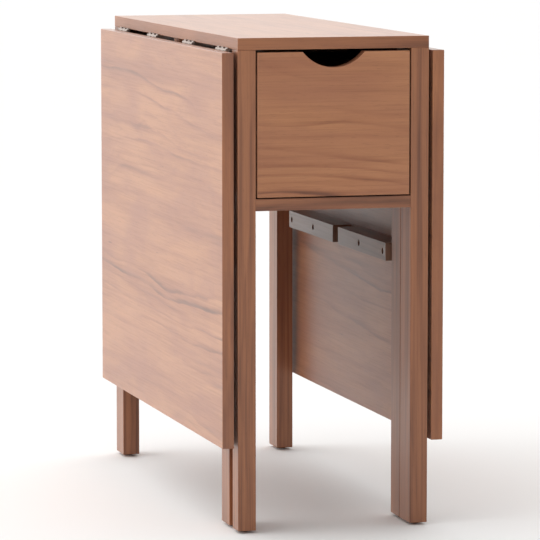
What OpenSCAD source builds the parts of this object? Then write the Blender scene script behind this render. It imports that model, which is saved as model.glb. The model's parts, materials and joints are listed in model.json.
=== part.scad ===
// Gateleg table: a narrow fixed top over a drawer carcass on four posts, with a hanging leaf on each
// side and a gate leg that folds behind each front post.
// X runs across the table, -Y is the drawer front, Z is up, and the floor is at Z = 0.

/* [Tabletop] */
// Width of the fixed top, side to side
table_w = 300; // [280:1:340]
// Depth of the table, drawer front to back
table_d = 800; // [780:1:840]
// Height of the top surface
table_h = 750; // [740:1:780]
// Thickness of the top and of both leaves
board_t = 18; // [17:1:20]

/* [Leaves] */
// Length of a leaf, from its hinged edge to its lower edge
leaf_l = 597; // [560:1:600]
// Gap between the carcass side and a hanging leaf
leaf_gap = 6.3; // [6.3:0.1:7]

/* [Posts] */
// Width of a post, side to side
post_w = 28; // [28:1:30]
// Depth of a post, front to back
post_d = 50; // [48:1:52]
// Depth of the finger rebate in the outer rear corner of a front post
rebate_x = 9; // [6:1:12]
// Length of the finger rebate, front to back
rebate_y = 18; // [14:1:20]
// Height of a leg glide below the wood
glide_h = 4; // [3:1:5]
// Diameter of a leg glide
glide_d = 18; // [14:1:22]

/* [Carcass] */
// Height of the carcass underside above the floor
carcass_z = 490; // [470:1:500]
// Thickness of the carcass bottom and back
panel_t = 18; // [17:1:18]
// Thickness of the carcass sides
side_t = 16; // [15:1:16]

/* [Drawer] */
// Gap on each side of the drawer front
front_gap_x = 2.5; // [2:0.1:3]
// Gap under the drawer front
front_gap_low = 2; // [1.5:0.1:3]
// Gap above the drawer front
front_gap_top = 4; // [3:0.1:5]
// Width of the half-moon finger cut-out
cutout_w = 97; // [80:1:110]
// Depth of the half-moon finger cut-out
cutout_h = 23.5; // [18:0.5:28]
// Thickness of the drawer box sides and back
box_t = 12; // [11:1:12]
// How far the drawer pulls out
drawer_travel = 450; // [300:10:450]

/* [Gates] */
// Thickness of the gate frame, side to side
gate_t = 27; // [26:0.5:27]
// Depth of the gate leg, front to back
gate_leg_d = 45; // [40:1:48]
// Gap between a front post and the folded gate leg
gate_gap = 3; // [2:0.5:4]
// Distance of the pivot in front of the table's middle
pivot_ahead = 12; // [8:1:14]
// Thickness of the gate arms
arm_t = 20; // [18:1:22]
// Height of the gate arms
arm_h = 38; // [34:1:42]

/* [Battens] */
// Length of one batten
batten_l = 258; // [240:1:258]
// Height of a batten on the hanging leaf
batten_h = 28; // [24:1:32]
// How far a batten stands out from the leaf
batten_out = 38; // [34:1:38]
// Distance from the hinge pin down to the battens
batten_drop = 304.7; // [300:0.1:306]
// Slot between the two battens, which takes the open gate leg
slot_w = 29; // [28.5:0.5:30]

/* [Hinges] */
// Radius of a hinge knuckle
knuckle_r = 3; // [2.8:0.1:3]
// Radius of a hinge pin
hinge_pin_r = 1.5; // [1.2:0.1:1.6]
// Length of one hinge
hinge_l = 60; // [50:1:62]
// Distance of the outer hinges from the table's middle
hinge_far = 320; // [310:1:324]
// Distance of the inner hinges from the table's middle
hinge_near = 116; // [110:1:120]

/* [Hidden] */
$fn = 48;
half_w = table_w / 2;
half_d = table_d / 2;
under_top = table_h - board_t;
// posts, centred at (post_x, post_y) in each corner
post_in = half_w - post_w;
post_x = half_w - post_w / 2;
post_y = half_d - post_d / 2;
// carcass box
floor_top = carcass_z + panel_t;
side_in = post_in - side_t;
side_front = half_d - panel_t - 2;
bay_h = under_top - floor_top;
// drawer front and box
front_w = 2 * (post_in - front_gap_x);
front_low = floor_top + front_gap_low;
front_top = under_top - front_gap_top;
cutout_r = (pow(cutout_w / 2, 2) + pow(cutout_h, 2)) / (2 * cutout_h);
box_in = side_in - 1 - box_t;
box_low = front_low + 4;
box_top = front_top - cutout_h - 4;
box_front = -half_d + board_t;
box_back = 358;
tray_z = box_low + 6;
tray_t = 6;
tray_lip = 5;
// runners fixed to the carcass sides, in grooves in the drawer sides
runner_z = (box_low + box_top) / 2;
runner_h = 12;
runner_in = side_in - 8;
runner_y = [box_front + 12, box_back - 30];
// rail under the top that the drawer's back meets at the end of its travel
catch_y = box_back - box_t - drawer_travel - 0.5;
catch_h = 20;
// hinges: the pin lies below the top's underside and outside its edge by the same offset
pin_out = knuckle_r + 0.3;
pin_x = half_w + leaf_gap - pin_out;
pin_z = under_top - pin_out;
edge_gap = 0.5;
plate_t = 1.5;
plate_l = 25;
knuckles = 5;
knuckle_gap = 0.2;
hinge_y = [-hinge_far, -hinge_near, hinge_near, hinge_far];
// leaves
leaf_in = half_w + leaf_gap;
leaf_top = pin_z - edge_gap;
// battens and the rest block between them
batten_z = pin_z - batten_drop - batten_h;
batten_screw = [115, 242];
batten_bore = 20;
rest_t = 6.7;
// gates, on pivots at (gate_x, pivot_y)
gate_in = post_in + 0.5;
gate_x = gate_in + gate_t / 2;
gate_leg_y = -half_d + post_d + gate_gap;
pivot_y = -pivot_ahead;
gate_top = pin_z - knuckle_r - 0.7;
arm_z = [floor_top + 8, gate_top - arm_h - 2];
arm_y = [gate_leg_y + gate_leg_d, pivot_y - 11];
pivot_low = floor_top + 1;
pivot_high = under_top - 0.7;
pivot_pin_r = 4;
pivot_pin_out = 9;
pivot_pin_in = 22;
bush_r = 6;
run_gap = 0.05;
bearer_l = 60;
// fasteners
dowel_r = 4;
dowel_l = 24;
fit_gap = 0.05;
screw_r = 1.9;
screw_head_r = 4;
hinge_screw_r = 1.3;
hinge_head_r = 2.8;
hinge_screw_y = [-20, 20];
stem_r = 2;
stem_l = 16;

// colours
top_wood = [0.80, 0.66, 0.56];
leaf_wood = [0.74, 0.57, 0.46];
front_wood = [0.64, 0.44, 0.32];
post_wood = [0.55, 0.38, 0.28];
inner_wood = [0.62, 0.50, 0.42];
box_wood = [0.80, 0.70, 0.55];
steel = [0.75, 0.75, 0.73];
brass = [0.80, 0.66, 0.36];
dark_plastic = [0.24, 0.17, 0.14];

// ---------- building blocks ----------

// A box between two corners
module block(low, high) {
    translate(low) cube(high - low);
}

// Turns a part made along Z so that it lies along the named axis
module along(axis) {
    rotate(axis == "x" ? [0, 90, 0] : axis == "y" ? [-90, 0, 0] : [0, 0, 0]) children();
}

// One rod centred on each place in the list of [centre, axis]
module rods(places, r, l) {
    for (place = places)
        translate(place[0]) along(place[1]) cylinder(r = r, h = l, center = true);
}

module dowel_holes(places) {
    rods(places, dowel_r + fit_gap, dowel_l + 1);
}

// A countersunk screw with its head at the origin, pointing along -Z
module screw(r, head_r, l) {
    head_h = head_r - r;
    rotate_extrude()
        polygon([[0, 0], [head_r, 0], [r, -head_h], [r, -l], [0, -l - r]]);
}

// The hole that a screw of these sizes fills
module screw_hole(r, head_r, l) {
    head_h = head_r - r;
    translate([0, 0, -l - r - fit_gap]) cylinder(r = r + fit_gap, h = l + r + 1);
    translate([0, 0, -head_h - fit_gap])
        cylinder(r1 = r + fit_gap, r2 = head_r + 2 * fit_gap, h = head_h + 2 * fit_gap);
}

// Copies of the children at each hinge
module at_hinges() {
    for (y = hinge_y) translate([pin_x, y, pin_z]) children();
}

// Swaps a thing made for the top with the same thing for the hanging leaf, about the hinge pin
module to_leaf() {
    mirror([1, 0, -1]) children();
}

// ---------- where the dowels go, for the right half ----------

function post_dowels(y) = [[[post_in, y - 12, carcass_z + panel_t / 2], "x"],
    [[post_in, y + 12, carcass_z + panel_t / 2], "x"], [[post_x, y, under_top], "z"]];
side_dowels = concat(
    [for (y = [-300, 0, 300]) [[side_in + side_t / 2, y, under_top], "z"]],
    [for (y = [-250, 60, 320]) [[side_in + side_t / 2, y, floor_top], "z"]],
    [for (z = [floor_top + 50, under_top - 50]) [[post_in, -post_y + 8, z], "x"]],
    [for (z = [floor_top + 50, under_top - 50]) [[post_in, post_y - 12, z], "x"]]);
back_y = half_d - panel_t / 2;
back_dowels = concat(
    [for (z = [floor_top + 30, under_top - 30]) [[post_in, back_y, z], "x"]],
    [[[60, back_y, under_top], "z"], [[60, back_y, floor_top], "z"]]);
bearer_dowels = [for (y = [-18, 18]) [[post_in, pivot_y + y, carcass_z + panel_t / 2], "x"]];
half_dowels = concat(post_dowels(-post_y), post_dowels(post_y), side_dowels, back_dowels,
    bearer_dowels);
function mirrored(places) = [for (p = places) [[-p[0][0], p[0][1], p[0][2]], p[1]]];
frame_dowels = concat(half_dowels, mirrored(half_dowels));
// each side of the drawer box meets the front and the back with two dowels
box_mid = box_in + box_t / 2;
front_dowels = [for (x = [-box_mid, box_mid]) for (z = [box_low + 40, box_top - 40])
    [[x, box_front, z], "y"]];
rear_dowels = [for (x = [-box_in, box_in]) for (z = [box_low + 50, box_top - 50])
    [[x, box_back - box_t / 2, z], "x"]];
// two dowels at each end of each arm; those in the pivot post stop short of its pins
gate_dowels = [for (y = [arm_y[0], arm_y[1] - 7]) for (z = arm_z) for (up = [11, arm_h - 11])
    [[gate_x, y, z + up], "y"]];

// ---------- top and carcass ----------

module tabletop() {
    color(top_wood) difference() {
        block([-half_w, -half_d, under_top], [half_w, half_d, table_h]);
        dowel_holes(frame_dowels);
        for (side = [0, 1]) mirror([side, 0, 0]) {
            at_hinges() hinge_pocket();
            at_hinges() hinge_screw_places() screw_hole(hinge_screw_r, hinge_head_r, 11);
            translate([gate_x, pivot_y, under_top - 1]) cylinder(r = bush_r + fit_gap, h = 12.5);
        }
    }
}

module carcass_bottom() {
    color(front_wood) difference() {
        block([-post_in, -half_d, carcass_z], [post_in, half_d, floor_top]);
        dowel_holes(frame_dowels);
    }
}

module carcass_side() {
    difference() {
        block([side_in, -side_front, floor_top], [post_in, half_d - panel_t, under_top]);
        dowel_holes(half_dowels);
        runner_screw_places() screw_hole(screw_r, screw_head_r, 18);
    }
}

module carcass_side_left() { color(inner_wood) mirror([1, 0, 0]) carcass_side(); }
module carcass_side_right() { color(inner_wood) carcass_side(); }

module carcass_back() {
    color(front_wood) difference() {
        block([-post_in, half_d - panel_t, floor_top], [post_in, half_d, under_top]);
        dowel_holes(frame_dowels);
    }
}

// A post standing on its glide, for the right side
module post(y) {
    difference() {
        block([post_in, y - post_d / 2, glide_h], [half_w, y + post_d / 2, under_top]);
        dowel_holes(half_dowels);
        translate([post_x, y, glide_h - 1]) cylinder(r = stem_r + fit_gap, h = stem_l + 1.5);
    }
}

// A front post has a rebate for the fingers that pull the gate leg out
module front_post() {
    difference() {
        post(-post_y);
        block([half_w - rebate_x, -half_d + post_d - rebate_y, 0],
            [half_w + 1, -half_d + post_d + 1, table_h]);
    }
}

module post_front_left() { color(post_wood) mirror([1, 0, 0]) front_post(); }
module post_front_right() { color(post_wood) front_post(); }
module post_rear_left() { color(post_wood) mirror([1, 0, 0]) post(post_y); }
module post_rear_right() { color(post_wood) post(post_y); }

module carcass_dowels() {
    color(box_wood) rods(frame_dowels, dowel_r, dowel_l);
}

// A glide: a rounded disc on the floor and a stem driven into the leg
module glide() {
    edge = 1.2;
    rotate_extrude()
        polygon([[0, 0], [glide_d / 2 - edge, 0], [glide_d / 2, edge], [glide_d / 2, glide_h],
            [stem_r, glide_h], [stem_r, glide_h + stem_l], [0, glide_h + stem_l]]);
}

module post_glides() {
    color(dark_plastic)
        for (x = [-post_x, post_x]) for (y = [-post_y, post_y]) translate([x, y, 0]) glide();
}

// ---------- drawer ----------

module drawer_front() {
    color(front_wood) difference() {
        block([-front_w / 2, -half_d, front_low], [front_w / 2, box_front, front_top]);
        translate([0, -half_d - 1, front_top - cutout_h + cutout_r]) rotate([-90, 0, 0])
            cylinder(r = cutout_r, h = board_t + 2, $fn = 96);
        dowel_holes(front_dowels);
    }
}

// A drawer side: grooved inside for the tray and outside for the runner
module drawer_side() {
    difference() {
        block([box_in, box_front, box_low], [box_in + box_t, box_back, box_top]);
        block([box_in - 1, box_front - 1, tray_z - 0.1],
            [box_in + tray_lip + 0.1, box_back + 1, tray_z + tray_t + 0.1]);
        block([runner_in - 0.5, runner_y[0] - 2, runner_z - runner_h / 2 - 0.5],
            [box_in + box_t + 1, box_back + 1, runner_z + runner_h / 2 + 0.5]);
        dowel_holes(front_dowels);
        dowel_holes(rear_dowels);
    }
}

module drawer_side_left() { color(box_wood) mirror([1, 0, 0]) drawer_side(); }
module drawer_side_right() { color(box_wood) drawer_side(); }

module drawer_back() {
    color(box_wood) difference() {
        block([-box_in, box_back - box_t, tray_z + tray_t + 0.1],
            [box_in, box_back, under_top - catch_h / 2]);
        dowel_holes(rear_dowels);
    }
}

module drawer_tray() {
    color(box_wood) block([-box_in - tray_lip, box_front, tray_z],
        [box_in + tray_lip, box_back, tray_z + tray_t]);
}

module drawer_dowels() {
    color(box_wood) rods(concat(front_dowels, rear_dowels), dowel_r, dowel_l - 4);
}

module runner_screw_places() {
    for (y = [-330, 0, 300]) translate([runner_in, y, runner_z]) rotate([0, -90, 0]) children();
}

module runner() {
    difference() {
        block([runner_in, runner_y[0], runner_z - runner_h / 2],
            [side_in, runner_y[1], runner_z + runner_h / 2]);
        runner_screw_places() screw_hole(screw_r, screw_head_r, 18);
    }
}

module runner_left() { color(box_wood) mirror([1, 0, 0]) runner(); }
module runner_right() { color(box_wood) runner(); }

module runner_screws() {
    color(steel) for (side = [0, 1]) mirror([side, 0, 0])
        runner_screw_places() screw(screw_r, screw_head_r, 18);
}

module drawer_catch_rail() {
    color(box_wood) block([-side_in, catch_y - box_t, under_top - catch_h],
        [side_in, catch_y, under_top]);
}

module drawer_stop_blocks() {
    color(box_wood) for (x = [-75, 75])
        block([x - 15, box_back + 0.5, floor_top], [x + 15, half_d - panel_t, floor_top + 26]);
}

// ---------- leaves ----------

module leaf() {
    difference() {
        block([leaf_in, -half_d, leaf_top - leaf_l], [leaf_in + board_t, half_d, leaf_top]);
        at_hinges() to_leaf() hinge_pocket();
        at_hinges() to_leaf() hinge_screw_places() screw_hole(hinge_screw_r, hinge_head_r, 11);
        for (rear = [0, 1]) batten_screw_places(rear) screw_hole(screw_r, screw_head_r, 28);
    }
}

module leaf_left() { color(leaf_wood) mirror([1, 0, 0]) leaf(); }
module leaf_right() { color(leaf_wood) leaf(); }

// Moves a batten made in front of the slot to the front or to the rear of it
module beside_slot(rear) {
    translate([0, pivot_y, 0]) mirror([0, rear, 0]) translate([0, -slot_w / 2, 0]) children();
}

// A batten screw starts at the floor of its counterbore
module batten_screw_places(rear) {
    beside_slot(rear) for (y = batten_screw)
        translate([leaf_in - batten_out + batten_bore, -y, batten_z + batten_h / 2])
            rotate([0, -90, 0]) children();
}

module batten(rear) {
    difference() {
        beside_slot(rear) block([leaf_in - batten_out, -batten_l, batten_z],
            [leaf_in, 0, batten_z + batten_h]);
        batten_screw_places(rear) {
            screw_hole(screw_r, screw_head_r, 28);
            cylinder(r = 5, h = batten_bore + 1);
        }
    }
}

module batten_left_front() { color(inner_wood) mirror([1, 0, 0]) batten(0); }
module batten_left_rear() { color(inner_wood) mirror([1, 0, 0]) batten(1); }
module batten_right_front() { color(inner_wood) batten(0); }
module batten_right_rear() { color(inner_wood) batten(1); }

module batten_screws() {
    for (rear = [0, 1]) batten_screw_places(rear) screw(screw_r, screw_head_r, 28);
}

module batten_screws_left() { color(steel) mirror([1, 0, 0]) batten_screws(); }
module batten_screws_right() { color(steel) batten_screws(); }

// The block in the slot that the open gate leg carries
module leaf_rest() {
    block([leaf_in - rest_t, pivot_y - slot_w / 2 + 0.5, batten_z],
        [leaf_in, pivot_y + slot_w / 2 - 0.5, batten_z + batten_h]);
}

module leaf_rest_left() { color(inner_wood) mirror([1, 0, 0]) leaf_rest(); }
module leaf_rest_right() { color(inner_wood) leaf_rest(); }

// ---------- hinges, drawn about the pin, with the plate let into the top ----------

module hinge_pocket() {
    block([-plate_l - 0.1, -hinge_l / 2 - 0.1, pin_out - 1],
        [0, hinge_l / 2 + 0.1, pin_out + plate_t + fit_gap]);
}

module hinge_screw_places() {
    for (y = hinge_screw_y) translate([-plate_l / 2 - 3, y, pin_out]) mirror([0, 0, 1]) children();
}

// The plate with every second knuckle, starting with knuckle number first
module hinge_half(first) {
    step = hinge_l / knuckles;
    difference() {
        union() {
            block([-plate_l, -hinge_l / 2, pin_out], [-knuckle_r, hinge_l / 2, pin_out + plate_t]);
            for (i = [first : 2 : knuckles - 1]) {
                low = -hinge_l / 2 + i * step + knuckle_gap / 2;
                block([-knuckle_r - 1, low, pin_out],
                    [-0.3, low + step - knuckle_gap, pin_out + plate_t]);
                block([-knuckle_r + 0.2, low, 0], [-0.3, low + step - knuckle_gap, pin_out + 1]);
                translate([0, low, 0]) along("y") cylinder(r = knuckle_r, h = step - knuckle_gap);
            }
        }
        along("y") cylinder(r = hinge_pin_r + run_gap, h = hinge_l + 2, center = true);
        hinge_screw_places() screw_hole(hinge_screw_r, hinge_head_r, 11);
    }
}

module hinge_screws() {
    hinge_screw_places() screw(hinge_screw_r, hinge_head_r, 11);
}

module hinge_top_plates() { at_hinges() hinge_half(0); }
module hinge_leaf_plates() { at_hinges() to_leaf() hinge_half(1); }
module hinge_pins() {
    at_hinges() along("y") cylinder(r = hinge_pin_r, h = hinge_l - 0.4, center = true);
}

module hinge_top_plates_left() { color(steel) mirror([1, 0, 0]) hinge_top_plates(); }
module hinge_top_plates_right() { color(steel) hinge_top_plates(); }
module hinge_leaf_plates_left() { color(steel) mirror([1, 0, 0]) hinge_leaf_plates(); }
module hinge_leaf_plates_right() { color(steel) hinge_leaf_plates(); }
module hinge_pins_left() { color(steel) mirror([1, 0, 0]) hinge_pins(); }
module hinge_pins_right() { color(steel) hinge_pins(); }
module hinge_top_screws_left() { color(steel) mirror([1, 0, 0]) at_hinges() hinge_screws(); }
module hinge_top_screws_right() { color(steel) at_hinges() hinge_screws(); }
module hinge_leaf_screws_left() { color(steel) mirror([1, 0, 0]) at_hinges() to_leaf() hinge_screws(); }
module hinge_leaf_screws_right() { color(steel) at_hinges() to_leaf() hinge_screws(); }

// ---------- gates ----------

module gate_leg() {
    difference() {
        block([gate_in, gate_leg_y, glide_h], [gate_in + gate_t, gate_leg_y + gate_leg_d, gate_top]);
        dowel_holes(gate_dowels);
        translate([gate_x, gate_leg_y + gate_leg_d / 2, glide_h - 1])
            cylinder(r = stem_r + fit_gap, h = stem_l + 1.5);
    }
}

// The turned post that the gate swings on
module gate_pivot_post() {
    difference() {
        translate([gate_x, pivot_y, pivot_low]) cylinder(d = gate_t, h = pivot_high - pivot_low);
        dowel_holes(gate_dowels);
        translate([gate_x, pivot_y, pivot_low - 1])
            cylinder(r = pivot_pin_r + fit_gap, h = pivot_pin_in + 1.5);
        translate([gate_x, pivot_y, pivot_high - pivot_pin_in - 0.5])
            cylinder(r = pivot_pin_r + fit_gap, h = pivot_pin_in + 1.5);
    }
}

// An arm butts against the leg and is hollowed to fit round the pivot post
module gate_arm(z) {
    difference() {
        block([gate_x - arm_t / 2, arm_y[0], z], [gate_x + arm_t / 2, pivot_y - 4, z + arm_h]);
        translate([gate_x, pivot_y, z - 1]) cylinder(d = gate_t + 2 * fit_gap, h = arm_h + 2);
        dowel_holes(gate_dowels);
    }
}

// Two steel pins fixed in the ends of the pivot post
module gate_pins() {
    for (low = [pivot_low - pivot_pin_out, pivot_high - pivot_pin_in])
        translate([gate_x, pivot_y, low]) cylinder(r = pivot_pin_r, h = pivot_pin_in + pivot_pin_out);
}

// Brass bushes in the bearer and in the top; the lower one has a flange that carries the post
module gate_bushes() {
    difference() {
        union() {
            translate([gate_x, pivot_y, floor_top - 12]) cylinder(r = bush_r, h = 12);
            translate([gate_x, pivot_y, floor_top]) cylinder(r = bush_r + 4, h = 0.7);
        }
        translate([gate_x, pivot_y, floor_top - 13]) cylinder(r = pivot_pin_r + run_gap, h = 15);
    }
    difference() {
        translate([gate_x, pivot_y, under_top]) cylinder(r = bush_r, h = 11);
        translate([gate_x, pivot_y, under_top - 1]) cylinder(r = pivot_pin_r + run_gap, h = 13);
    }
}

// The block on the carcass bottom's edge that holds the lower bush
module gate_bearer() {
    difference() {
        block([post_in, pivot_y - bearer_l / 2, carcass_z],
            [gate_in + gate_t, pivot_y + bearer_l / 2, floor_top]);
        dowel_holes(bearer_dowels);
        translate([gate_x, pivot_y, floor_top - 12.5]) cylinder(r = bush_r + fit_gap, h = 13.5);
    }
}

module gate_dowel_set() { rods(gate_dowels, dowel_r, dowel_l); }

module gate_glide() {
    translate([gate_x, gate_leg_y + gate_leg_d / 2, 0]) glide();
}

module gate_leg_left() { color(post_wood) mirror([1, 0, 0]) gate_leg(); }
module gate_leg_right() { color(post_wood) gate_leg(); }
module gate_pivot_post_left() { color(post_wood) mirror([1, 0, 0]) gate_pivot_post(); }
module gate_pivot_post_right() { color(post_wood) gate_pivot_post(); }
module gate_upper_arm_left() { color(post_wood) mirror([1, 0, 0]) gate_arm(arm_z[1]); }
module gate_upper_arm_right() { color(post_wood) gate_arm(arm_z[1]); }
module gate_lower_arm_left() { color(post_wood) mirror([1, 0, 0]) gate_arm(arm_z[0]); }
module gate_lower_arm_right() { color(post_wood) gate_arm(arm_z[0]); }
module gate_pins_left() { color(steel) mirror([1, 0, 0]) gate_pins(); }
module gate_pins_right() { color(steel) gate_pins(); }
module gate_bushes_left() { color(brass) mirror([1, 0, 0]) gate_bushes(); }
module gate_bushes_right() { color(brass) gate_bushes(); }
module gate_bearer_left() { color(inner_wood) mirror([1, 0, 0]) gate_bearer(); }
module gate_bearer_right() { color(inner_wood) gate_bearer(); }
module gate_dowels_left() { color(box_wood) mirror([1, 0, 0]) gate_dowel_set(); }
module gate_dowels_right() { color(box_wood) gate_dowel_set(); }
module gate_glide_left() { color(dark_plastic) mirror([1, 0, 0]) gate_glide(); }
module gate_glide_right() { color(dark_plastic) gate_glide(); }

tabletop();
carcass_bottom();
carcass_side_left();
carcass_side_right();
carcass_back();
post_front_left();
post_front_right();
post_rear_left();
post_rear_right();
carcass_dowels();
post_glides();
drawer_front();
drawer_side_left();
drawer_side_right();
drawer_back();
drawer_tray();
drawer_dowels();
runner_left();
runner_right();
runner_screws();
drawer_catch_rail();
drawer_stop_blocks();
leaf_left();
batten_left_front();
batten_left_rear();
batten_screws_left();
leaf_rest_left();
leaf_right();
batten_right_front();
batten_right_rear();
batten_screws_right();
leaf_rest_right();
hinge_top_plates_left();
hinge_leaf_plates_left();
hinge_pins_left();
hinge_top_screws_left();
hinge_leaf_screws_left();
hinge_top_plates_right();
hinge_leaf_plates_right();
hinge_pins_right();
hinge_top_screws_right();
hinge_leaf_screws_right();
gate_leg_left();
gate_pivot_post_left();
gate_upper_arm_left();
gate_lower_arm_left();
gate_pins_left();
gate_bushes_left();
gate_bearer_left();
gate_dowels_left();
gate_glide_left();
gate_leg_right();
gate_pivot_post_right();
gate_upper_arm_right();
gate_lower_arm_right();
gate_pins_right();
gate_bushes_right();
gate_bearer_right();
gate_dowels_right();
gate_glide_right();
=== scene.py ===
"""The looks of a gateleg table: boards with softened edges and a procedural wood figure, real
screws, metal hinges, a pale floor, soft studio light and the camera."""
import json
import math

import bmesh
import bpy
from mathutils import Matrix, Vector


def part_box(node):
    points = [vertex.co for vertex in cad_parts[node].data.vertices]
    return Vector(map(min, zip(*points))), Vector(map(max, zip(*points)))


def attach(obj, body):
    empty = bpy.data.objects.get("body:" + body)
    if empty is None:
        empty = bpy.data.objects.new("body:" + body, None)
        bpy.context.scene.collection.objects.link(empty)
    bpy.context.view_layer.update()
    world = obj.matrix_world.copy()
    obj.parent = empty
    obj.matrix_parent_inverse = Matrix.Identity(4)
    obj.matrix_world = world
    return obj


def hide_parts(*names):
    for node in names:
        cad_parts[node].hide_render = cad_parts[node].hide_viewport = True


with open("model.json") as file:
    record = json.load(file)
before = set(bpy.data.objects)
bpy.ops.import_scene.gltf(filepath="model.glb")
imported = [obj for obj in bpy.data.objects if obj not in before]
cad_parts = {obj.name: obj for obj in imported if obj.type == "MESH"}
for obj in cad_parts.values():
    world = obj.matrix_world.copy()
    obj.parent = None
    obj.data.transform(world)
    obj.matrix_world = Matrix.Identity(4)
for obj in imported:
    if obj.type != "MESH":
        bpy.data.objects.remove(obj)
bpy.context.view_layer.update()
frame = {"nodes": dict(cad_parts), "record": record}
nodes = frame["nodes"]
bodies = frame["record"]["behaviour"]["bodies"]
body_of = {node: body for body, members in bodies.items() for node in members}

SIDES = ("left", "right")
AXES = "XYZ"
MM = 0.001

# How often each layer of the wood figure repeats in a metre: along the grain, and across it.
REPEATS = {
    "wander": (1.3, 4.5),
    "ripple": (5, 24),
    "patch": (2.5, 7),
    "fibre": (9, 420),
    "thread": (3.5, 85),
    "band": (1.6, 26),
    "pore": (55, 1500),
    "mottle": (4, 13),
    "fleck": (16, 130),
}
# The noise level at which a layer starts to show, and the one at which it is all there.
SHOWS = {
    "patch": (0.36, 0.62),
    "mottle": (0.34, 0.70),
    "fibre": (0.45, 0.72),
    "pore": (0.66, 0.74),
    "fleck": (0.80, 0.88),
    "dull metal": (0.35, 0.7),
    "scuff": (0.5, 0.75),
}
# How much of the wood a layer covers with its own tone where it is all there.
COVERS = {"fibre": 0.2, "pore": 0.35, "fleck": 0.7}
# The noise level at which a layer of streaks is neutral, and how strong those streaks are.
STREAKS = {"thread": (0.45, 2.2), "band": (0.42, 2.6)}
# How dark a growth ring is, as (place, darkness), from its inner side, 0, to its outer side, 1.
RING_STOPS = ((0.0, 0.0), (0.4, 0.25), (0.8, 1.0), (1.0, 0.0))
WEAKEST_DRAW = 0.25             # rings that draw less than this are all equally weak
WEAKEST_RING = 0.12             # their strength
WEAKEST_PATCH = 0.15            # the share of their strength that rings keep where they fade
LIGHT_TO_MID = (0.0, 0.55)      # where the tones change over, in darkness from 0 to 1
MID_TO_DARK = (0.40, 1.0)
WANDER = 2.4                    # how far the rings' middle strays, in warps
RIPPLE = 1.6                    # how far a ring's line wavers, in ring widths
MOTTLE_ANGLE = 0.5              # between the soft cross figure and the grain, in radians
PORE_TONE = (0.05, 0.022, 0.013)
PORE_DROP = 0.8                 # how deep the pores are in the bump, in fibre heights
LACQUER_SWING = 0.14            # how much the lacquer's roughness varies
SEED_STEPS = (1.7, 0.61, 0.37)  # how far each unit of a wood's seed moves it through the noise
SQUARE_ON = 0.72                # a normal with more than this along an axis faces that way
END_SHIFT = 3.1                 # metres, so that the ends don't repeat the broad face's figure

METAL_LINES = (10800, 900, 10800)   # a metre, so that they run along Y
METAL_PATCHES = 180                 # a metre
METAL_DULL = 0.78                   # a dull patch's tone, as a share of the metal's
METAL_GLINT = 0.2                   # how much white the lines add
METAL_SWING = 0.2                   # how much the metal's roughness varies
PLASTIC_GRAIN, PLASTIC_SCUFFS = 1400, 90    # a metre
SCUFF_PALER = 2.2                   # times the plastic's own tone
SCUFF_COVERS = 0.35
PLASTIC_ROUGH = (0.5, 0.7)          # where it is clean, and where it is scuffed

WELD = 2e-6             # metres: points closer than this are one point
ON_PLANE = 2e-5         # metres: points closer than this to a plane lie on it
FLAT_ANGLE = math.radians(0.4)
BEVEL_ANGLE = math.radians(30)
BEVEL_STEPS = 3
BOARD_SHARP_ANGLE = math.radians(32)
SCREW_SHARP_ANGLE = math.radians(28)

SCREW_STEPS = 32
HEAD_FLAT = 0.985               # its radius, as a share of the head's
RIM_DROP = 0.12 * MM            # from the head's flat to its widest part
SHANK = 0.475                   # the shank's radius, as a share of the head's
THREAD_START = 1.5 * MM         # below the head's cone
THREAD_PITCH = 1.2 * MM
THREAD_ROOT = 0.80              # as a share of the shank's radius
TIP_RADIUS = 0.3 * MM
RECESS_REACH = 0.58             # this and the next two are shares of the head's radius
RECESS_HALF_WIDTH = 0.13
RECESS_DEPTH = 0.42
RECESS_TAPER = 0.6
FIRST_TURN, NEXT_TURN = 0.4, 1.9    # radians, so that no two recesses line up

LONG_EDGE = 0.5         # metres: an upright edge over this runs down a whole post

FLOOR_REACH = 60        # metres
FLOOR_TONES = ((0.93, 0.93, 0.93), (0.95, 0.95, 0.95))
FLOOR_CLOUDS = 0.7      # a metre
FLOOR_ROUGH = 0.85
SKY_COLOUR = (1.0, 0.995, 0.985, 1)
SKY_BRIGHT_SIDE = (-0.40, 0.84, 0.36)
SKY_FADE = (-0.60, 0.88)        # the cosines that the light changes between, from the bright side
SKY_STRENGTH = (0.15, 1.70)     # far from the bright side, and close to it


# ---------- node trees ----------

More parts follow.
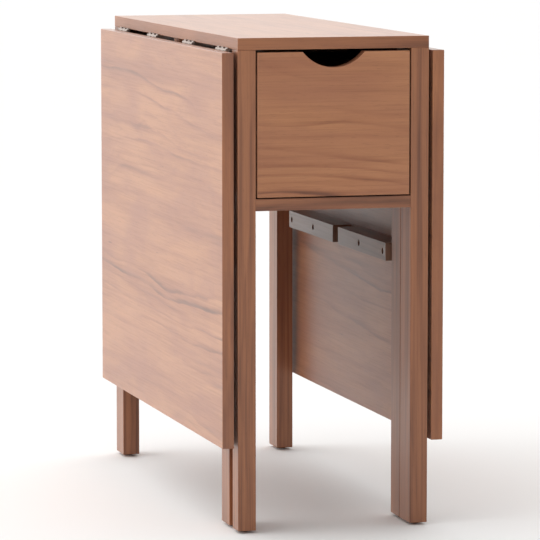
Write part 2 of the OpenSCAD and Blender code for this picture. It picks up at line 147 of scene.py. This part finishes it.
class Net:
    """A short way to write a material's nodes. Values are sockets or plain numbers."""

    def __init__(self, name):
        self.material = bpy.data.materials.new(name)
        self.material.use_nodes = True
        self.tree = self.material.node_tree
        self.shader = self.tree.nodes["Principled BSDF"]
        self.coords = self.tree.nodes.new("ShaderNodeTexCoord")

    def node(self, kind, inputs=(), **settings):
        """A new node of this kind."""
        made = self.tree.nodes.new("ShaderNode" + kind)
        for key, value in settings.items():
            setattr(made, key, value)
        for key, value in dict(inputs).items():
            self.put(made.inputs[key], value)
        return made

    def put(self, socket, value):
        """Links an input to a socket, or sets it to a number."""
        if isinstance(value, bpy.types.NodeSocket):
            self.tree.links.new(value, socket)
        else:
            socket.default_value = value

    def math(self, operation, a, b=0.0, clamp=False):
        return self.node("Math", {0: a, 1: b}, operation=operation, use_clamp=clamp).outputs[0]

    def split(self, vector):
        return self.node("SeparateXYZ", {0: vector}).outputs

    def join(self, x, y, z):
        return self.node("CombineXYZ", {0: x, 1: y, 2: z}).outputs[0]

    def scaled(self, vector, factors, shift=(0, 0, 0), turn=0.0):
        """vector times factors, then turned about Z and shifted."""
        return self.node("Mapping", {"Vector": vector, "Scale": factors, "Rotation": (0, 0, turn),
            "Location": shift}).outputs[0]

    def noise(self, vector, scale=1.0, detail=2.0, roughness=0.5, distortion=0.0, output=0):
        """Noise from 0 to 1, or three of them where output is "Color"."""
        return self.node("TexNoise", {"Vector": vector, "Scale": scale, "Detail": detail,
            "Roughness": roughness, "Distortion": distortion}).outputs[output]

    def curve(self, value, low, high, to_low=0.0, to_high=1.0):
        """value's range low to high, smoothly stretched to another range."""
        return self.node("MapRange", {0: value, 1: low, 2: high, 3: to_low, 4: to_high},
            interpolation_type="SMOOTHSTEP").outputs[0]

    def mix(self, factor, a, b):
        """A colour between a, where factor is 0, and b, where it is 1."""
        made = self.node("Mix", data_type="RGBA")
        for index, value in ((0, factor), (6, a), (7, b)):
            if isinstance(value, tuple):
                value = (*value, 1.0)
            self.put(made.inputs[index], value)
        return made.outputs[2]

    def ramp(self, value, *stops):
        """A ramp of grey through stops of (place, level)."""
        made = self.node("ValToRGB", {0: value})
        points = made.color_ramp.elements
        while len(points) < len(stops):
            points.new(0.5)
        for point, (place, level) in zip(points, stops):
            point.position = place
            point.color = (level, level, level, 1)
        return made.outputs[0]

    def finish(self, roughness, bump=None, depth=0.0, strength=0.3, **constants):
        """Sets the roughness, a bump of this depth in metres, and the shader's plain numbers."""
        self.put(self.shader.inputs["Roughness"], roughness)
        if bump is not None:
            raised = self.node("Bump", {"Height": bump, "Distance": depth, "Strength": strength})
            self.put(self.shader.inputs["Normal"], raised.outputs[0])
        for key, value in constants.items():
            self.shader.inputs[key.replace("_", " ")].default_value = value
        return self.material


# ---------- wood ----------

def board_grain(net, long, face):
    """The place in the board as (along the grain, across it, through the board), and whether it is
    on an end and on an edge, as 1 or 0. On the ends the grain runs across the board."""
    along, through = AXES.index(long), AXES.index(face)
    wide = 3 - along - through
    place = net.split(net.coords.outputs["Object"])
    facing = net.split(net.coords.outputs["Normal"])
    straight = net.join(place[along], place[wide], place[through])
    turned = net.join(place[wide], place[through], net.math("ADD", place[along], END_SHIFT))
    at_end = net.math("GREATER_THAN", net.math("ABSOLUTE", facing[along]), SQUARE_ON)
    at_edge = net.math("LESS_THAN", net.math("ABSOLUTE", facing[through]), SQUARE_ON)
    chosen = net.node("Mix", data_type="VECTOR")
    for index, value in ((0, at_end), (4, straight), (5, turned)):
        net.put(chosen.inputs[index], value)
    return chosen.outputs[1], at_end, at_edge


def layer(net, grain, name, shift, fine=1.0, turn=0.0, **noise):
    """One layer of the figure: noise that is stretched along the grain, and narrower where fine is
    over 1."""
    along, across = REPEATS[name]
    across *= fine
    return net.noise(net.scaled(grain, (along, across, across), shift, turn), **noise)


def growth_rings(net, grain, seed, shift, pith, pitch, warp):
    """Rings round a wandering pith, from 0 in their pale early wood to 1 in their late wood. Each
    ring has its own strength, and they fade in patches."""
    swing = net.split(layer(net, grain, "wander", shift, roughness=0.4, output="Color"))
    ripple = layer(net, grain, "ripple", shift, detail=3)
    place = net.split(grain)
    across, depth = (
        net.math("ADD", net.math("SUBTRACT", place[1 + index], pith[index]),
            net.math("MULTIPLY", net.math("SUBTRACT", swing[index], 0.5), warp * WANDER))
        for index in range(2))
    radius = net.math("SQRT", net.math("ADD", net.math("MULTIPLY", across, across),
        net.math("MULTIPLY", depth, depth)))
    turns = net.math("ADD", net.math("DIVIDE", radius, pitch), net.math("MULTIPLY", ripple, RIPPLE))
    year = net.ramp(net.math("FRACT", turns), *RING_STOPS)
    strength = net.node("TexWhiteNoise", {"W": net.math("ADD", net.math("FLOOR", turns), seed)},
        noise_dimensions="1D").outputs[0]
    patch = layer(net, grain, "patch", (seed, 4, seed), detail=1.5)
    return net.math("MULTIPLY", year, net.math("MULTIPLY",
        net.curve(strength, WEAKEST_DRAW, 1.0, WEAKEST_RING),
        net.curve(patch, *SHOWS["patch"], WEAKEST_PATCH)))


def streak(net, level, name, strength):
    """Streaks from a layer's noise, around 0."""
    neutral, weight = STREAKS[name]
    return net.math("MULTIPLY", net.math("SUBTRACT", level, neutral), strength * weight)


def wood(name, long, face, light, mid, dark, cloud, seed, pith, pitch=0.009, warp=0.035,
         rings=0.55, streaks=0.5, clouds=0.4, rough=0.38, coat=0.25, fine=1.0, edge=None,
         end_streaks=1.0):
    """Solid or veneered wood under a satin lacquer.

    long is the axis that the grain runs along, and face the axis across the board's broad faces.
    light, mid and dark are the tones from early wood to the darkest lines, and cloud is that of the
    soft patches. seed picks the piece of wood. pith is the middle of the growth rings, across and
    through the board in metres, pitch is a ring's width, and warp is how far the rings stray, which
    gives arches and long streaks. rings, streaks and clouds are how strongly each layer shows, and
    fine over 1 makes the streaks narrower. rough and coat are the lacquer's roughness and gloss.
    edge holds other tones for the edges, and end_streaks strengthens the streaks on the ends."""
    net = Net(name)
    grain, at_end, at_edge = board_grain(net, long, face)
    shift = tuple(seed * step for step in SEED_STEPS)
    ring = growth_rings(net, grain, seed, shift, pith, pitch, warp)
    fibre = layer(net, grain, "fibre", shift, detail=4, roughness=0.62)
    thread = layer(net, grain, "thread", shift, fine, detail=3, roughness=0.6)
    band = layer(net, grain, "band", (seed, 1, seed), fine)
    mottle = layer(net, grain, "mottle", (seed, seed, 2), turn=MOTTLE_ANGLE, detail=5,
        roughness=0.55, distortion=0.4)
    fleck = net.curve(layer(net, grain, "fleck", (3, seed, 1), detail=0.5), *SHOWS["fleck"])
    pore = net.curve(layer(net, grain, "pore", shift, detail=1), *SHOWS["pore"])

    lines = net.math("ADD", streak(net, thread, "thread", streaks),
        streak(net, band, "band", streaks))
    if end_streaks != 1.0:
        boost = net.math("ADD", 1.0, net.math("MULTIPLY", at_end, end_streaks - 1.0))
        lines = net.math("MULTIPLY", lines, boost)
    tone = net.math("ADD", net.math("MULTIPLY", ring, rings), lines, clamp=True)
    if edge:
        light, mid, dark, cloud = (net.mix(at_edge, tint, edge[key]) for key, tint in
            (("light", light), ("mid", mid), ("dark", dark), ("cloud", cloud)))
    colour = net.mix(net.curve(tone, *LIGHT_TO_MID), light, mid)
    colour = net.mix(net.curve(tone, *MID_TO_DARK), colour, dark)
    for share, covers, tint in (
            (net.curve(mottle, *SHOWS["mottle"]), clouds, cloud),
            (net.curve(fibre, *SHOWS["fibre"]), COVERS["fibre"], dark),
            (fleck, COVERS["fleck"], dark),
            (pore, COVERS["pore"], PORE_TONE)):
        colour = net.mix(net.math("MULTIPLY", share, covers), colour, tint)
    net.put(net.shader.inputs["Base Color"], colour)

    height = net.math("SUBTRACT", fibre, net.math("MULTIPLY", pore, PORE_DROP))
    uneven = net.math("ADD", net.math("MULTIPLY", fibre, LACQUER_SWING), rough - LACQUER_SWING / 2)
    return net.finish(uneven, height, depth=0.12 * MM, strength=0.35, Specular_IOR_Level=0.45,
        Coat_Weight=coat, Coat_Roughness=0.3, Sheen_Weight=0.06, Sheen_Roughness=0.4)


# ---------- metal and plastic ----------

def metal(name, colour, rough):
    """Drawn or rolled metal with fine lines along Y and a few dull patches."""
    net = Net(name)
    place = net.coords.outputs["Object"]
    lines = net.noise(net.scaled(place, METAL_LINES), detail=3)
    patches = net.noise(place, scale=METAL_PATCHES, detail=3)
    dull = tuple(part * METAL_DULL for part in colour)
    shade = net.mix(net.curve(patches, *SHOWS["dull metal"]), colour, dull)
    net.put(net.shader.inputs["Base Color"],
        net.mix(net.math("MULTIPLY", lines, METAL_GLINT), shade, (1, 1, 1)))
    uneven = net.math("ADD", net.math("MULTIPLY", lines, METAL_SWING), rough - METAL_SWING / 2)
    return net.finish(uneven, lines, depth=0.03 * MM, Metallic=1.0)


def plastic(name, colour):
    """Moulded plastic with a fine grain and pale scuffs."""
    net = Net(name)
    place = net.coords.outputs["Object"]
    grain = net.noise(place, scale=PLASTIC_GRAIN, detail=2)
    scuff = net.curve(net.noise(place, scale=PLASTIC_SCUFFS, detail=4), *SHOWS["scuff"])
    pale = tuple(min(1.0, part * SCUFF_PALER) for part in colour)
    net.put(net.shader.inputs["Base Color"],
        net.mix(net.math("MULTIPLY", scuff, SCUFF_COVERS), colour, pale))
    clean, scuffed = PLASTIC_ROUGH
    uneven = net.math("ADD", net.math("MULTIPLY", scuff, scuffed - clean), clean)
    return net.finish(uneven, grain, depth=0.05 * MM)


# ---------- pieces made from CAD nodes ----------

def welded(node):
    """A CAD node's mesh, with the points that its faces share made one."""
    work = bmesh.new()
    work.from_mesh(nodes[node].data)
    bmesh.ops.remove_doubles(work, verts=work.verts, dist=WELD)
    return work


def stand_in(node, ending, work, material, sharp_angle):
    """Makes this mesh the piece that stands for a CAD node."""
    mesh = bpy.data.meshes.new(node + ending)
    work.to_mesh(mesh)
    work.free()
    for face in mesh.polygons:
        face.use_smooth = True
    mesh.set_sharp_from_angle(angle=sharp_angle)
    mesh.materials.append(material)
    piece = bpy.data.objects.new(node + ending, mesh)
    bpy.context.scene.collection.objects.link(piece)
    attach(piece, body_of[node])
    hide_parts(node)
    return piece


def on_planes(vertex, low, high):
    """Which of a box's six planes this vertex lies on, as (axis, end)."""
    return {(axis, end) for axis in range(3) for end, limit in enumerate((low, high))
            if abs(vertex.co[axis] - limit[axis]) < ON_PLANE}


def shaped(node, material, round_mm=0.0, also=None):
    """A clean copy of a CAD node takes its place: flat faces are joined up, the edges that lie on
    its box's edges are rounded by round_mm, and curved faces are smooth. also(edge, planes) picks
    more edges to round, where planes are those of the box that hold the whole edge."""
    work = welded(node)
    bmesh.ops.dissolve_limit(work, angle_limit=FLAT_ANGLE, verts=work.verts, edges=work.edges,
        use_dissolve_boundaries=False)
    if round_mm:
        low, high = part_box(node)
        picked = []
        for edge in work.edges:
            if len(edge.link_faces) != 2 or edge.calc_face_angle(0) < BEVEL_ANGLE:
                continue
            planes = on_planes(edge.verts[0], low, high) & on_planes(edge.verts[1], low, high)
            if len({axis for axis, _ in planes}) >= 2 or (also and also(edge, planes)):
                picked.append(edge)
        bmesh.ops.bevel(work, geom=picked, offset=round_mm * MM, offset_type="OFFSET",
            segments=BEVEL_STEPS, profile=0.5, affect="EDGES", clamp_overlap=False)
    piece = stand_in(node, "_finished", work, material, BOARD_SHARP_ANGLE)
    normals = piece.modifiers.new("normals", "WEIGHTED_NORMAL")
    normals.keep_sharp = True
    normals.weight = 100


def upright_edges(edge, planes):
    """A post's long outer corners, those of the finger rebate too."""
    return abs(edge.verts[0].co.z - edge.verts[1].co.z) > LONG_EDGE and edge.is_convex


def front_edges(edge, planes):
    """Edges in the plane of a board's front, which take in the arc of a cut-out."""
    return (1, 0) in planes


def painted(node, material):
    """A CAD node stays as it is, with this material."""
    for slot in nodes[node].material_slots:
        slot.link = "OBJECT"
        slot.material = material


# ---------- screws ----------

def islands(node):
    """The box of each separate solid in a CAD node, as (low, high), in a fixed order."""
    work = welded(node)
    seen, found = set(), []
    for start in work.verts:
        if start in seen:
            continue
        group, queue = [], [start]
        seen.add(start)
        while queue:
            vertex = queue.pop()
            group.append(vertex.co)
            for edge in vertex.link_edges:
                other = edge.other_vert(vertex)
                if other not in seen:
                    seen.add(other)
                    queue.append(other)
        found.append(tuple(Vector([pick(place[axis] for place in group) for axis in range(3)])
            for pick in (min, max)))
    work.free()
    return sorted(found, key=lambda pair: tuple(round(part, 5) for part in pair[0]))


def screw_profile(head_r, length):
    """A countersunk screw as (radius, height), from its head's flat at height 0 to its tip."""
    shank = head_r * SHANK
    neck, taper = shank - head_r, shank - length
    first = neck - THREAD_START
    threads = []
    for index in range(max(0, int((first - taper) / THREAD_PITCH))):
        level = first - index * THREAD_PITCH
        threads += [(shank * THREAD_ROOT, level), (shank, level - THREAD_PITCH / 2)]
    return [(head_r * HEAD_FLAT, 0.0), (head_r, -RIM_DROP), (shank, neck), *threads, (shank, taper),
        (TIP_RADIUS, -length)]


def cross(head_r):
    """The outline of a cross recess, as (x, y)."""
    arm, half = head_r * RECESS_REACH, head_r * RECESS_HALF_WIDTH
    outline = []
    for quarter in range(4):
        cosine, sine = math.cos(math.pi / 2 * quarter), math.sin(math.pi / 2 * quarter)
        for x, y in ((arm, -half), (arm, half), (half, half)):
            outline.append((x * cosine - y * sine, x * sine + y * cosine))
    return outline


def wall(work, upper, lower):
    """Faces between two loops of as many points."""
    for i in range(len(upper)):
        j = (i + 1) % len(upper)
        work.faces.new((upper[i], lower[i], lower[j], upper[j]))


def loop_edges(work, loop):
    return [work.edges.get((loop[i], loop[(i + 1) % len(loop)])) for i in range(len(loop))]


def add_screw(work, head, direction, head_r, length, turn):
    """A countersunk screw with a thread and a cross recess. head is the middle of its head's flat,
    and direction points from there to its tip."""
    facing = direction.to_track_quat("-Z", "Y").to_matrix().to_4x4()
    place = Matrix.Translation(head) @ (facing @ Matrix.Rotation(turn, 4, "Z"))

    def point(x, y, level):
        return work.verts.new(place @ Vector((x, y, level)))

    angles = [2 * math.pi * step / SCREW_STEPS for step in range(SCREW_STEPS)]
    rings = [[point(radius * math.cos(angle), radius * math.sin(angle), level) for angle in angles]
             for radius, level in screw_profile(head_r, length)]
    for upper, lower in zip(rings, rings[1:]):
        wall(work, upper, lower)
    work.faces.new(list(reversed(rings[-1])))
    outline = cross(head_r)
    mouth = [point(x, y, 0) for x, y in outline]
    bottom = [point(x * RECESS_TAPER, y * RECESS_TAPER, -head_r * RECESS_DEPTH) for x, y in outline]
    wall(work, mouth, bottom)
    work.faces.new(bottom)
    bmesh.ops.triangle_fill(work, use_beauty=True, use_dissolve=False,
        edges=loop_edges(work, mouth) + loop_edges(work, rings[0]))


def upwards(low):
    return Vector((0, 0, 1))


def outwards(low):
    """From the table's middle towards the side that this place is on."""
    return Vector((1 if low.x > 0 else -1, 0, 0))


def screws(node, material, direction_at):
    """Real screws in place of a node's plain ones. direction_at(low) gives the direction of the one
    whose box has this low corner."""
    work = bmesh.new()
    for index, (low, high) in enumerate(islands(node)):
        direction = direction_at(low)
        axis = max(range(3), key=lambda i: abs(direction[i]))
        size = high - low
        head = (low + high) / 2
        head[axis] = low[axis] if direction[axis] > 0 else high[axis]
        add_screw(work, head, direction, head_r=size[(axis + 1) % 3] / 2, length=size[axis],
            turn=FIRST_TURN + NEXT_TURN * index)
    bmesh.ops.recalc_face_normals(work, faces=work.faces)
    stand_in(node, "_real", work, material, SCREW_SHARP_ANGLE)


# ---------- materials ----------

# The tones of the broad faces, of the posts and edges, of the inner boards and of the drawer box.
# The inner boards' tones are darker than the rest, as painted shade for the shaded inside of the
# carcass.
FACE = {"light": (0.47, 0.205, 0.094), "mid": (0.37, 0.145, 0.065),
    "dark": (0.15, 0.053, 0.026), "cloud": (0.33, 0.125, 0.070)}
FRAME = {"light": (0.375, 0.147, 0.064), "mid": (0.262, 0.096, 0.043),
    "dark": (0.10, 0.036, 0.018), "cloud": (0.21, 0.081, 0.043)}
INNER_PAINTED_SHADE = {"light": (0.225, 0.120, 0.078), "mid": (0.175, 0.090, 0.058),
    "dark": (0.10, 0.048, 0.03), "cloud": (0.19, 0.107, 0.076)}
BOX = {"light": (0.60, 0.41, 0.25), "mid": (0.52, 0.34, 0.195),
    "dark": (0.34, 0.20, 0.11), "cloud": (0.54, 0.38, 0.24)}
LEAF_EDGE_BRIGHTER = 1.14
LEAF_EDGE = {key: tuple(part * LEAF_EDGE_BRIGHTER for part in tint)
    for key, tint in FRAME.items()}

top_wood = wood("top_wood", "Y", "Z", **FACE, seed=3.1, pith=(0.02, 0.80), pitch=0.011, rings=0.4,
    streaks=0.35, coat=0.1, edge=FRAME, end_streaks=2.6)
leaf_wood = {
    "left": wood("leaf_wood_left", "Y", "X", **FACE, seed=7.3, pith=(0.46, -0.12), pitch=0.016,
        warp=0.06, rings=0.65, clouds=0.75, coat=0.35, edge=LEAF_EDGE),
    "right": wood("leaf_wood_right", "Y", "X", **FACE, seed=12.9, pith=(0.40, 0.10), pitch=0.016,
        warp=0.05, rings=0.65, clouds=0.65, coat=0.15, edge=LEAF_EDGE)}
front_wood = wood("drawer_wood", "X", "Y", **FACE, seed=5.2, pith=(0.685, -0.33), pitch=0.012,
    warp=0.10, rings=0.9, streaks=0.4, clouds=0.5, coat=0.1, fine=1.2)
rail_wood = wood("rail_wood", "X", "Z", **FRAME, seed=9.4, pith=(-0.3, 0.55), streaks=0.9,
    clouds=0.2)
post_wood = {}
for number, corner in enumerate(("front_left", "front_right", "rear_left", "rear_right")):
    post_wood[corner] = wood("post_wood_" + corner, "Z", "Y", **FRAME, seed=21.7 + 3.3 * number,
        pith=(0.30, 0.45 if corner.startswith("front") else -0.45), pitch=0.006, warp=0.02,
        rings=0.3, streaks=0.7, clouds=0.25, fine=2.4)
gate_wood = {}
for number, side in enumerate(SIDES):
    gate_wood[side] = wood("gate_wood_" + side, "Z", "Y", **FRAME, seed=41.3 + 5 * number,
        pith=(0.2, 0.3), pitch=0.007, rings=0.3, streaks=0.8, clouds=0.25, fine=2.2)
arm_wood = wood("arm_wood", "Y", "X", **FRAME, seed=33.3, pith=(0.5, 0.3), pitch=0.007)
# The inner boards: wood with darker tones, painted shade for the inside of the carcass.
inner_wood = wood("inner_wood", "Y", "X", **INNER_PAINTED_SHADE, seed=51.9, pith=(0.55, 0.2), clouds=0.2)
box_wood = wood("box_wood", "Y", "X", **BOX, seed=61.1, pith=(0.5, 0.25), clouds=0.2, rough=0.5)
box_wood_across = wood("box_wood_across", "X", "Y", **BOX, seed=64.6, pith=(0.5, 0.25),
    clouds=0.2, rough=0.5)
back_wood = wood("back_wood", "X", "Y", **FACE, seed=71.5, pith=(0.60, 0.50), pitch=0.011,
    warp=0.05)
steel = metal("plated_steel", (0.30, 0.225, 0.185), rough=0.42)
brass = metal("brass", (0.80, 0.60, 0.27), rough=0.32)
glide_plastic = plastic("glide_plastic", (0.055, 0.034, 0.026))

# ---------- boards ----------

shaped("tabletop", top_wood, round_mm=0.8)
for side in SIDES:
    shaped("leaf_" + side, leaf_wood[side], round_mm=0.8)
    shaped("carcass_side_" + side, inner_wood, round_mm=0.3)
    shaped("gate_leg_" + side, gate_wood[side], round_mm=0.9)
    shaped("gate_pivot_post_" + side, gate_wood[side])
    for arm in ("upper", "lower"):
        shaped(f"gate_{arm}_arm_{side}", arm_wood, round_mm=0.8)
    shaped("gate_bearer_" + side, inner_wood, round_mm=0.6)
    for end in ("front", "rear"):
        shaped(f"batten_{side}_{end}", inner_wood, round_mm=0.6)
    shaped("leaf_rest_" + side, inner_wood, round_mm=0.5)
    shaped("drawer_side_" + side, box_wood, round_mm=0.5)
    shaped("runner_" + side, box_wood, round_mm=0.5)
for corner, material in post_wood.items():
    shaped("post_" + corner, material, round_mm=0.9, also=upright_edges)
shaped("drawer_front", front_wood, round_mm=0.7, also=front_edges)
shaped("drawer_back", box_wood_across, round_mm=0.5)
shaped("drawer_tray", box_wood)
shaped("drawer_catch_rail", box_wood_across, round_mm=0.5)
shaped("drawer_stop_blocks", box_wood_across)
shaped("carcass_bottom", rail_wood, round_mm=0.6)
shaped("carcass_back", back_wood, round_mm=0.6)
for node in ("carcass_dowels", "drawer_dowels", "gate_dowels_left", "gate_dowels_right"):
    painted(node, box_wood_across)

# ---------- hardware ----------

shaped("post_glides", glide_plastic)
for side in SIDES:
    shaped("gate_glide_" + side, glide_plastic)
    shaped("gate_pins_" + side, steel)
    shaped("gate_bushes_" + side, brass)
    for kind in ("top_plates", "leaf_plates", "pins"):
        shaped(f"hinge_{kind}_{side}", steel)
    screws("hinge_top_screws_" + side, steel, upwards)
    screws("hinge_leaf_screws_" + side, steel, outwards)
    screws("batten_screws_" + side, steel, outwards)
screws("runner_screws", steel, outwards)


# ---------- floor, light and camera ----------

def pale_floor():
    """A wide, slightly uneven white floor."""
    reach = FLOOR_REACH
    mesh = bpy.data.meshes.new("floor")
    mesh.from_pydata([(-reach, -reach, 0), (reach, -reach, 0), (reach, reach, 0),
        (-reach, reach, 0)], [], [(0, 1, 2, 3)])
    net = Net("pale_floor")
    clouds = net.noise(net.coords.outputs["Object"], scale=FLOOR_CLOUDS)
    net.put(net.shader.inputs["Base Color"], net.mix(clouds, *FLOOR_TONES))
    mesh.materials.append(net.finish(FLOOR_ROUGH))
    floor = bpy.data.objects.new("floor", mesh)
    bpy.context.scene.collection.objects.link(floor)


def studio_sky():
    """A white sky that lights the table more from behind and above. The camera itself sees it as
    bright all round, so that low views from any side have the same plain background."""
    world = bpy.data.worlds.new("studio")
    bpy.context.scene.world = world
    world.use_nodes = True
    tree = world.node_tree
    direction = tree.nodes.new("ShaderNodeTexCoord")
    towards = tree.nodes.new("ShaderNodeVectorMath")
    towards.operation = "DOT_PRODUCT"
    towards.inputs[1].default_value = Vector(SKY_BRIGHT_SIDE).normalized()
    fade = tree.nodes.new("ShaderNodeMapRange")
    fade.interpolation_type = "SMOOTHSTEP"
    for index, value in enumerate((*SKY_FADE, *SKY_STRENGTH), start=1):
        fade.inputs[index].default_value = value
    seen = tree.nodes.new("ShaderNodeLightPath")
    strength = tree.nodes.new("ShaderNodeMix")
    strength.inputs[3].default_value = SKY_STRENGTH[1]
    glow = tree.nodes["Background"]
    glow.inputs["Color"].default_value = SKY_COLOUR
    for start, end in (
            (direction.outputs["Generated"], towards.inputs[0]),
            (towards.outputs["Value"], fade.inputs[0]),
            (seen.outputs["Is Camera Ray"], strength.inputs[0]),
            (fade.outputs[0], strength.inputs[2]),
            (strength.outputs[0], glow.inputs["Strength"])):
        tree.links.new(start, end)


def lamp(name, place, target, size, power):
    """A square soft light at place, pointing at target."""
    data = bpy.data.lights.new(name, "AREA")
    data.shape = "SQUARE"
    data.size = size
    data.energy = power
    made = bpy.data.objects.new(name, data)
    made.location = place
    made.rotation_euler = (Vector(target) - Vector(place)).to_track_quat("-Z", "Y").to_euler()
    bpy.context.scene.collection.objects.link(made)


def studio_camera():
    """A long lens from the front left, a little above the table."""
    data = bpy.data.cameras.new("camera")
    data.lens = 247.7
    data.sensor_width = 36
    data.clip_end = 200
    camera = bpy.data.objects.new("camera", data)
    camera.location = (-1.595, -5.751, 1.025)
    camera.rotation_euler = (math.radians(83.59), 0, math.radians(-15.61))
    bpy.context.scene.collection.objects.link(camera)
    bpy.context.scene.camera = camera


pale_floor()
bpy.context.scene.view_settings.view_transform = "Standard"
bpy.context.scene.view_settings.look = "None"
studio_sky()
table_middle = (0, 0, 0.4)
lamp("key_left", (-3.4, 0.3, 1.3), table_middle, size=2.4, power=22)
lamp("fill_front", (-0.6, -4.8, 2.6), table_middle, size=2.2, power=30)
studio_camera()
